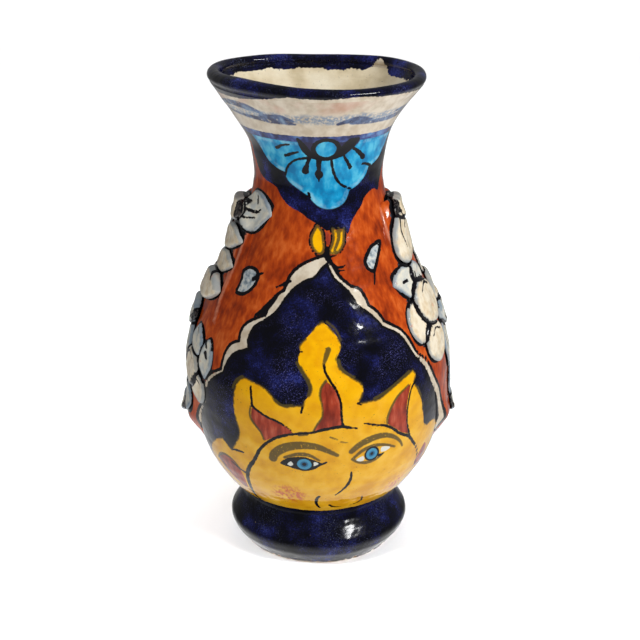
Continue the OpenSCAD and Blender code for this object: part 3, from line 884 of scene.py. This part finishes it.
def lip():
    """The rolled lip: a rounded roll that follows the hand-pulled mouth, on the end of the neck."""
    low, high = (corner.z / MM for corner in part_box("rolled_lip"))
    degrees, _, radius = unrolled(points_of(cad["rolled_lip"]))
    around_lip = spaced((-180, 180, 1))[:-1]
    reach = smooth_around(by_angle(degrees, radius, np.max), around_lip)
    seat = [side([neck_top], around_lip)[0] for side in (wall.outside, wall.inside)]
    half_wide, half_high = (reach - seat[1]).mean() / 2, (high - low) / 2
    turn = np.radians(np.linspace(*LIP_ARC, LIP_RINGS))[:, None]
    uneven = LIP_UNEVEN * waves(np.radians(around_lip), ((0.25, 3, 1), (0.2, 7, 2), (0.12, 11, 0)))
    broad = 1 + LIP_BROADER * np.exp(-((around_lip - LIP_BROAD_AT) / LIP_BROAD_WIDTH) ** 2)
    roll = reach - half_wide * broad * (1 - np.cos(turn)) + uneven
    height = low + half_high * broad * (1 + np.sin(turn)) + uneven * np.clip(np.sin(turn), 0, 1)
    points = np.concatenate([
        around(seat[0], around_lip, low)[None], around(roll, around_lip, height),
        around(seat[1], around_lip, low)[None],
    ])
    piece = smooth_mesh("lip", points, corner=60)
    share = np.linspace(0, 1, len(points))[:, None] + LIP_GAP * cream_notch(around_lip)
    drip = above_lip_edge(around_lip, points[..., 2])
    drip[len(points) // 2:] = FULL
    set_fields(piece, {"roll": share, "drip": drip})
    finish_piece(piece, "rolled_lip", "cobalt_glaze", lip_glaze)


CHIP_DEPTH = 2.4           # how deep the chips of the foot's edge are cut
CHIP_TOP = 3.4             # height that they reach
CHIP_FROM = 0.06           # how large the clay's unevenness is where a chip begins
CHIP_BARE = 3              # how much of the bare field a chip gives
EDGE_RISE = 0.3            # how far the resting edge rises in places
RISE_TOP = 6               # height over which that fades
UNEVEN_TOP = 20            # height over which the foot's uneven roundness fades
BARE_TOP = 1.2             # height up to which the resting edge is bare clay
BARE_INSIDE = 2.0          # value of the bare field in the unglazed hollow underneath
RECESS = ((0, 6), (1, 0))  # how much wider the hollow under the foot is, at heights


def foot():
    """The flared foot, with its uneven edge chipped where it rests."""
    degrees, height, radius = unrolled(points_of(cad["foot_ring"]))
    level = np.round(height, 1)
    rings = [(z, radius[level == z].max()) for z in np.unique(level)]
    z_known, r_known = np.array([r for r in rings if r[1] > floor_r + 1]).T
    z_rows = spaced((0, 3, 0.4), (3, z_known[-1], 0.9))
    around_foot = spaced((-180, 180, 0.9))[:-1]
    profile = smooth_levels(z_known, r_known[:, None], z_rows)

    def fading(top):
        return np.clip(1 - z_rows / top, 0, 1)[:, None]

    uneven = fading(UNEVEN_TOP) * waves(np.radians(around_foot), ((0.5, 2, 1), (0.25, 5, 0)))
    points = around(profile + uneven, around_foot, z_rows[:, None])
    chips = np.clip(lumps(points, size=2.6, seed=5) - CHIP_FROM, 0, 1) * fading(CHIP_TOP)
    rise = EDGE_RISE * np.clip(lumps(points, size=14, seed=6), 0, 1) * fading(RISE_TOP)
    points = points - around(chips * CHIP_DEPTH, around_foot, -rise)
    recess = radius[level == z_known[-1]].min()
    inner = [(recess, z_known[-1])] + [(recess + wider, z) for wider, z in RECESS]
    points = np.concatenate([points] + [around(r, around_foot, z)[None] for r, z in inner])
    piece = smooth_mesh("foot", points)
    bare = np.full(points.shape[:2], BARE_INSIDE)
    bare[:len(z_rows)] = chips * CHIP_BARE + fading(BARE_TOP)
    set_fields(piece, {"bare": bare})
    finish_piece(piece, "foot_ring", "cobalt_glaze", foot_glaze)


# ------------------------------------------------------------------ glaze materials

def rgb(red, green, blue):
    """A colour as it looks, from 0 to 255, in the renderer's linear units."""
    def linear(v):
        v /= 255
        return v / 12.92 if v <= 0.04045 else ((v + 0.055) / 1.055) ** 2.4
    return linear(red), linear(green), linear(blue), 1


class Surface:
    """A node material that is built up in coats, from the clay outwards. Colours are (r, g, b) to 255."""

    def __init__(self, name, roughness=0.14, shine=0.27):
        self.material = bpy.data.materials.new(name)
        self.material.use_nodes = True
        self.tree = self.material.node_tree
        self.tree.nodes.clear()
        self.shader = self.add("ShaderNodeBsdfPrincipled")
        self.shader.inputs["Roughness"].default_value = roughness
        self.shader.inputs["Specular IOR Level"].default_value = shine
        out = self.add("ShaderNodeOutputMaterial")
        self.feed(out.inputs["Surface"], self.shader.outputs[0])
        self.mm = self.stretched(self.add("ShaderNodeTexCoord").outputs["Object"], (1 / MM,) * 3)
        self.colour = None

    def add(self, kind, **settings):
        node = self.tree.nodes.new(kind)
        for key, value in settings.items():
            setattr(node, key, value)
        return node

    def feed(self, socket, value):
        if isinstance(value, bpy.types.NodeSocket):
            self.tree.links.new(value, socket)
        else:
            socket.default_value = rgb(*value) if isinstance(value, tuple) else value

    def stretched(self, vector, by):
        node = self.add("ShaderNodeVectorMath", operation="MULTIPLY")
        self.feed(node.inputs[0], vector)
        node.inputs[1].default_value = by
        return node.outputs[0]

    def math(self, operation, a, b=0.0):
        node = self.add("ShaderNodeMath", operation=operation)
        self.feed(node.inputs[0], a)
        self.feed(node.inputs[1], b)
        return node.outputs[0]

    def plus(self, a, b):
        return self.math("ADD", a, b)

    def times(self, a, b):
        return self.math("MULTIPLY", a, b)

    def height(self):
        node = self.add("ShaderNodeSeparateXYZ")
        self.feed(node.inputs[0], self.mm)
        return node.outputs[2]

    def noise(self, size, detail=3.0, stretch=(1, 1, 1)):
        """Noise around a half, with features of about a size in millimetres."""
        node = self.add("ShaderNodeTexNoise")
        self.feed(node.inputs["Vector"], self.stretched(self.mm, stretch))
        node.inputs["Scale"].default_value = 1 / size
        node.inputs["Detail"].default_value = detail
        return node.outputs["Fac"]

    def wobble(self, size, amount):
        """Noise around nothing, in millimetres."""
        return self.times(self.math("SUBTRACT", self.noise(size, 2.0), 0.5), amount)

    def field(self, name, uneven=None):
        """A distance that the mesh carries, made uneven by a wobble."""
        value = self.add("ShaderNodeAttribute", attribute_name=name).outputs["Fac"]
        return value if uneven is None else self.plus(value, uneven)

    def between(self, value, low, high):
        """0 below low, 1 above high, or the other way round."""
        node = self.add("ShaderNodeMapRange")
        self.feed(node.inputs["Value"], value)
        node.inputs["From Min"].default_value = min(low, high)
        node.inputs["From Max"].default_value = max(low, high)
        node.inputs["To Min"].default_value = 0.0 if low < high else 1.0
        node.inputs["To Max"].default_value = 1.0 if low < high else 0.0
        return node.outputs["Result"]

    def beside(self, value, centre, far, close):
        """1 within close of a centre, 0 further from it than far."""
        return self.between(self.math("ABSOLUTE", self.math("SUBTRACT", value, centre)), far, close)

    def ramp(self, value, *stops):
        """A colour that runs through stops of (value, red, green, blue)."""
        node = self.add("ShaderNodeValToRGB")
        self.feed(node.inputs[0], value)
        ramp = node.color_ramp
        while len(ramp.elements) < len(stops):
            ramp.elements.new(0.5)
        for element, (position, *colour) in zip(ramp.elements, stops):
            element.position = position
            element.color = rgb(*colour)
        return node.outputs["Color"]

    def mixed(self, share, under, over):
        node = self.add("ShaderNodeMix", data_type="RGBA")
        self.feed(node.inputs[0], share)
        self.feed(node.inputs[6], under)
        self.feed(node.inputs[7], over)
        return node.outputs[2]

    def coat(self, colour, mask, *more):
        """Lays a colour over what is there, where every mask says; a number thins it."""
        for by in more:
            mask = self.times(mask, by)
        self.colour = self.mixed(mask, self.colour, colour)

    def bump(self, height, depth):
        """A surface unevenness of a depth in millimetres."""
        node = self.add("ShaderNodeBump")
        node.inputs["Strength"].default_value = 1.0
        node.inputs["Distance"].default_value = depth * MM
        self.feed(node.inputs["Height"], height)
        self.feed(self.shader.inputs["Normal"], node.outputs[0])

    def done(self):
        self.feed(self.shader.inputs["Base Color"], self.colour)
        return self.material

    # what each glaze looks like where it is brushed on

    def terracotta(self):
        streaks = self.times(self.noise(2.6, 5.0, (1, 1, 0.3)), 0.5)
        tone = self.plus(streaks, self.times(self.noise(16), 0.5))
        return self.ramp(
            tone, (0.34, 126, 40, 10), (0.46, 168, 60, 14), (0.55, 194, 78, 20), (0.68, 222, 110, 46)
        )

    def cobalt(self):
        tone = self.plus(self.times(self.noise(12, 4.0), 0.65), self.times(self.noise(0.7, 3.0), 0.35))
        return self.ramp(tone, (0.42, 5, 5, 14), (0.5, 10, 11, 36), (0.58, 20, 23, 72), (0.68, 50, 60, 138))

    def specks(self):
        """Where pale pinholes show in the cobalt."""
        crowd = self.between(self.noise(18), 0.46, 0.66)
        return self.times(crowd, self.between(self.noise(0.5, 2.0), 0.57, 0.72))

    def yellow(self):
        warm = self.ramp(self.noise(9), (0.35, 216, 152, 14), (0.52, 232, 172, 26), (0.68, 240, 186, 54))
        rich = self.ramp(self.noise(7), (0.35, 236, 164, 0), (0.6, 250, 186, 2))
        return self.mixed(self.between(self.height(), 78, 118), warm, rich)

    def turquoise(self):
        brushed = self.noise(5, 4.0, (1, 1, 0.7))
        return self.ramp(brushed, (0.36, 10, 118, 170), (0.5, 24, 152, 202), (0.66, 84, 188, 220))

    def cream(self):
        return self.ramp(self.noise(5, 4.0), (0.36, 196, 180, 156), (0.6, 220, 208, 188))


INK = (13, 12, 17)
BAND_TOP = 226.0           # height of the top of the neck's blue line
STRIPE_Z = 235.2           # height of the pale stripe under the lip
BLUSH_Z = (236.5, 241)     # heights over which the cream turns pinkish under the lip
LIP_CREAM = 1.15           # value of the lip's roll field past which it is cream: only the notch gets there
COBALT_DEPTH = 1.9         # how far the cobalt runs down the inside of the neck
NOTCH_DEPTH = 9.0          # how much less it does at the notch


def glazed_wall():
    s = Surface("painted_glaze", 0.13)
    edge = s.wobble(1.6, 0.9)
    fine = s.wobble(0.8, 0.5)

    def where(name, soft=0.1, extra=edge):
        return s.between(s.field(name, extra), -soft, soft)

    s.colour = s.terracotta()
    # painted highlight along the pinched ridges, partly the glaze's own paler tone where it runs thin over
    # them
    s.coat((236, 160, 128), where("ridge", 0.5), 0.5)
    cobalt = s.cobalt()
    s.coat(s.cream(), where("cream"))
    s.coat(cobalt, where("panel"))
    s.coat((104, 104, 176), where("panel"), s.specks(), 0.8)
    rim = s.field("panel", s.wobble(5, 6))
    s.coat((8, 8, 16), where("panel"), s.between(rim, 5.0, 0.5), 0.85)
    s.coat(s.yellow(), where("sun", 0.15, fine))
    s.coat((62, 54, 30), where("flame_edge", 0.3), s.between(s.noise(4), 0.38, 0.5), 0.85)
    dots = s.times(s.between(s.noise(0.8, 1.0), 0.7, 0.76), s.between(s.noise(12), 0.5, 0.6))
    s.coat((84, 66, 28), where("sun"), dots, 0.8)
    rust = s.ramp(s.noise(3, 4.0, (1, 1, 0.3)), (0.35, 122, 40, 26), (0.55, 166, 62, 40), (0.7, 190, 92, 66))
    s.coat(rust, where("red", 0.15, fine))
    s.coat((198, 84, 50), where("cheek", 2.2), s.between(s.noise(1.6, 3.0, (1, 1, 0.6)), 0.44, 0.58), 0.85)

    z = s.plus(s.height(), edge)
    s.coat(cobalt, where("navy"))
    s.coat(s.turquoise(), where("flower", 0.15, fine))
    light = s.beside(s.field("flower"), 1.0, 1.4, 0.2)
    s.coat((150, 204, 222), light, s.between(s.noise(4), 0.42, 0.6), 0.6)
    s.coat((40, 36, 70), where("dusk", 0.2, fine))
    s.coat(s.cream(), s.between(z, BAND_TOP - 0.1, BAND_TOP + 0.1))
    s.coat((204, 156, 136), s.between(z, *BLUSH_Z), s.between(s.noise(14), 0.5, 0.66), 0.6)
    blue = s.ramp(s.noise(6, 4.0), (0.4, 34, 38, 84), (0.52, 60, 76, 136), (0.66, 92, 136, 190))
    s.coat(blue, s.beside(z, BAND_TOP - 1.5, 1.7, 1.4))
    stripe = s.beside(s.plus(z, s.wobble(9, 4)), STRIPE_Z, 3.0, 1.2)
    s.coat((112, 138, 166), stripe, s.between(s.noise(1.4, 4.0), 0.36, 0.56), 0.8)
    wash = s.ramp(s.noise(5, 3.0), (0.4, 40, 50, 86), (0.55, 80, 102, 140), (0.68, 124, 150, 176))
    s.coat(wash, where("wash", 0.3), s.between(s.noise(1.8, 4.0), 0.24, 0.4), 0.95)
    s.coat(cobalt, where("drip"))

    s.coat(s.yellow(), where("yellow", 0.15, fine))
    grey = s.ramp(s.noise(2.4, 3.0), (0.38, 120, 134, 142), (0.5, 176, 186, 190), (0.64, 214, 214, 204))
    s.coat(grey, where("grey", 0.15, fine))
    s.coat((82, 70, 34), where("olive", 0.25, fine), s.between(s.noise(1.1, 3.0), 0.22, 0.38), 0.92)
    s.coat(s.ramp(s.noise(2.6, 3.0), (0.5, *INK), (0.6, 84, 92, 104)), where("between", 0.2))
    s.coat(INK, where("ink", 0.12))
    s.coat((222, 222, 212), where("white", 0.12, fine))
    s.coat(s.turquoise(), where("heart", 0.12, fine))
    s.coat(INK, s.between(s.field("iris"), -1.1, -0.85))
    for colour, inside in (((66, 142, 178), (-0.1, 0.15)), ((34, 100, 138), (1.3, 1.6)),
                           ((14, 22, 36), (2.1, 2.35))):
        s.coat(colour, s.between(s.field("iris", fine), *inside))

    s.feed(s.shader.inputs["Roughness"], s.times(s.noise(5, 4.0), 0.2))
    s.bump(s.plus(s.noise(9, 2.0), s.times(s.noise(1.6, 1.0), 0.06)), 0.36)
    return s.done()


def glazed_sprig(name, pale, deep, shade, reach):
    """A sprig's glaze: pale in the middle, shaded towards its rim, with black brush lines."""
    s = Surface(name)
    s.colour = s.ramp(s.noise(4, 4.0), (0.36, *deep), (0.58, *pale))
    rim = s.field("rim", s.wobble(2.2, 1.6))
    s.coat(shade, s.between(rim, reach, 1.0), s.between(s.noise(7, 3.0), 0.40, 0.60), 0.8)
    s.coat(shade, s.between(rim, 1.6, 0.8), 0.7)
    s.coat(shade, s.between(s.field("along", s.wobble(5, 1.4)), -0.5, -1.05), 0.6)
    s.coat((212, 120, 84), s.between(s.noise(3.1, 2.0), 0.66, 0.74), 0.35)
    s.coat((15, 14, 20), s.between(s.field("ink", s.wobble(1.4, 0.9)), -0.12, 0.12))
    scratch = s.ramp(s.noise(0.8, 3.0, (1, 1, 0.35)), (0.5, 14, 13, 18), (0.66, 92, 84, 80))
    s.coat(scratch, s.between(s.field("hollow", s.wobble(1.2, 1.4)), -0.15, 0.15))
    s.bump(s.plus(s.noise(5, 3.0), s.times(s.noise(1.2, 2.0), 0.15)), 0.6)
    return s.done()


def glazed_lip():
    s = Surface("lip_glaze", 0.11)
    s.colour = s.cobalt()
    s.coat((150, 160, 205), s.specks(), 0.4)
    ragged = s.plus(s.wobble(1.5, 0.26), s.wobble(9, 0.3))
    s.coat(s.cream(), s.between(s.field("roll", ragged), LIP_CREAM - 0.01, LIP_CREAM + 0.01))
    s.coat(s.cream(), s.between(s.field("drip", s.wobble(1.6, 1.4)), 0.1, -0.1))
    s.bump(s.noise(7, 3.0), 0.5)
    return s.done()


def glazed_foot():
    s = Surface("foot_glaze")
    s.colour = s.cobalt()
    s.coat((150, 160, 205), s.specks(), 0.25)
    clay = s.ramp(s.noise(2.4, 4.0), (0.38, 120, 84, 58), (0.52, 186, 158, 124), (0.66, 220, 206, 182))
    bare = s.between(s.field("bare", s.wobble(1.8, 1.6)), 0.42, 0.62)
    s.coat(clay, bare)
    s.feed(s.shader.inputs["Roughness"], s.between(bare, -0.2, 1.3))
    s.bump(s.plus(s.noise(10, 2.0), s.times(s.noise(1.5, 1.0), 0.03)), 0.6)
    return s.done()


def glazed_inside():
    s = Surface("inner_glaze", 0.16)
    s.colour = s.ramp(s.noise(16, 5.0), (0.36, 196, 180, 146), (0.5, 220, 206, 176), (0.64, 234, 224, 200))
    s.coat((96, 92, 100), s.between(s.noise(0.9, 1.0), 0.7, 0.78), 0.6)
    ragged = s.plus(s.height(), s.plus(s.wobble(1.4, 1.6), s.wobble(12, 5)))
    ragged = s.math("SUBTRACT", ragged, s.times(s.field("notch"), NOTCH_DEPTH))
    low = neck_top - COBALT_DEPTH
    s.coat(s.cobalt(), s.between(ragged, low, low + 0.2))
    s.bump(s.plus(s.noise(9, 3.0), s.times(s.noise(3, 2.0, (0.3, 0.3, 2)), 0.3)), 0.7)
    return s.done()


painted_glaze = glazed_wall()
inner_glaze = glazed_inside()
lip_glaze = glazed_lip()
foot_glaze = glazed_foot()
petal_glaze = glazed_sprig("petal_glaze", (240, 228, 204), (222, 202, 168), (150, 156, 158), 2.2)
leaf_glaze = glazed_sprig("leaf_glaze", (228, 222, 204), (198, 202, 198), (124, 140, 154), 2.6)


# ------------------------------------------------------------------ the pieces

# Angles around the wall: fine over the painted front and back, and coarse over the sides
AROUND_WALL = spaced((-50, 50, 0.6), (50, 130, 1.8), (130, 230, 0.6), (230, 310, 1.8))[:-1]
# Heights of the rows of points, closest where the drawing is finest
BELLY_ROWS = ((waist_z, 40, 1), (40, 85, 0.65), (85, 165, 0.8), (165, neck_z, 1.2))
STRUCTURE = (
    "foot_ring", "floor_slab", "body_wall", "flared_neck", "rolled_lip",
    "left_relief_ground", "right_relief_ground",
)
rims = {node: rim_of(node) for node in sorted(cad) if node not in STRUCTURE}

wall_piece(
    "belly", "body_wall", "belly_glaze", spaced(*BELLY_ROWS), spaced((neck_z, floor_top, 14)),
    [(wall.inner[0, 0], floor_low)], list(rims.values())
)
wall_piece(
    "neck", "flared_neck", "neck_glaze", spaced((neck_z, neck_top, 0.6)), spaced((neck_top, neck_z, 2)),
    [], []
)
lip()
foot()
for side in ("left", "right"):
    relief_ground(side, [line for node, line in rims.items() if node.startswith(side)])
for node, line in rims.items():
    sprig(node, line)
cad["floor_slab"].material_slots[0].material = inner_glaze


# ------------------------------------------------------------------ floor, light and camera

# corners of the floor, in metres
FLOOR = [(-4, -4, 0), (4, -4, 0), (4, 6, 0), (-4, 6, 0)]

# The light that comes back from the table below and from the room above: the upward part of the
# direction where each begins, and how strong they are
SURROUNDINGS = (-0.75, -0.2, 1.3, 0.17)

# name, place and aim in metres, power in watts, width and height
LIGHTS = (
    ("key", (0.95, -0.7, 0.9), (0, 0, 0.13), 12.5, (0.55, 0.13)),
    ("side", (-0.9, -0.55, 0.75), (0, 0, 0.15), 1.8, (0.06, 0.35)),
    ("top", (0.2, 0.0, 1.3), (0, 0, 0.13), 4.3, (0.8, 0.8)),
    ("front", (0.3, -1.4, 0.25), (0, 0, 0.13), 5.6, (0.6, 0.6)),
    ("floor_near", (-1.4, -1.2, 2.2), (0.1, 0, 0), 58, (0.4, 0.4)),
    ("floor_far", (0, 3.4, 2.0), (0, 3.6, 0), 90, (4, 2)),
)
CAMERA_AT = (0, -0.7, 0.37675)
CAMERA_TILT = 69.9         # degrees up from straight down
LENS, SENSOR = 80.55, 36   # in millimetres
SHIFT = 0.00234            # of the picture to the side, in shares of its width


def studio():
    scene = bpy.context.scene
    scene.view_settings.view_transform = "Standard"
    s = Surface("paper", 0.9, 0.0)
    s.colour = s.ramp(s.noise(300, 2.0), (0.3, 246, 246, 247), (0.7, 252, 252, 252))
    sweep = bpy.data.meshes.new("floor")
    sweep.from_pydata(FLOOR, [], [(0, 1, 2, 3)])
    sweep.materials.append(s.done())
    floor = placed("floor", sweep)
    floor.visible_glossy = floor.visible_diffuse = False      # the world's lower half lights the vase

    scene.world = bpy.data.worlds.new("studio")
    scene.world.use_nodes = True
    nodes, links = scene.world.node_tree.nodes, scene.world.node_tree.links
    sky = nodes["Background"]
    sky.inputs["Color"].default_value = (1, 1, 1, 1)
    along, part, level = (
        nodes.new(f"ShaderNode{kind}") for kind in ("TexCoord", "SeparateXYZ", "MapRange")
    )
    links.new(along.outputs["Generated"], part.inputs[0])
    links.new(part.outputs[2], level.inputs["Value"])
    links.new(level.outputs["Result"], sky.inputs["Strength"])
    for socket, value in zip(("From Min", "From Max", "To Min", "To Max"), SURROUNDINGS):
        level.inputs[socket].default_value = value

    only_floor = bpy.data.collections.new("only_floor")
    only_floor.objects.link(floor)
    for name, place, aim, watts, size in LIGHTS:
        lamp = bpy.data.lights.new(name, "AREA")
        lamp.energy, lamp.shape, lamp.size, lamp.size_y = watts, "RECTANGLE", *size
        holder = placed(name, lamp)
        holder.location = place
        holder.rotation_euler = (Vector(aim) - Vector(place)).to_track_quat("-Z", "Y").to_euler()
        holder.visible_glossy = name == "key"      # the only lamp that the glaze mirrors
        if name.startswith("floor"):
            holder.light_linking.receiver_collection = only_floor

    camera = bpy.data.cameras.new("camera")
    camera.lens, camera.sensor_width, camera.shift_x = LENS, SENSOR, SHIFT
    scene.camera = placed("camera", camera)
    scene.camera.location = CAMERA_AT
    scene.camera.rotation_euler = (math.radians(CAMERA_TILT), 0, 0)


studio()
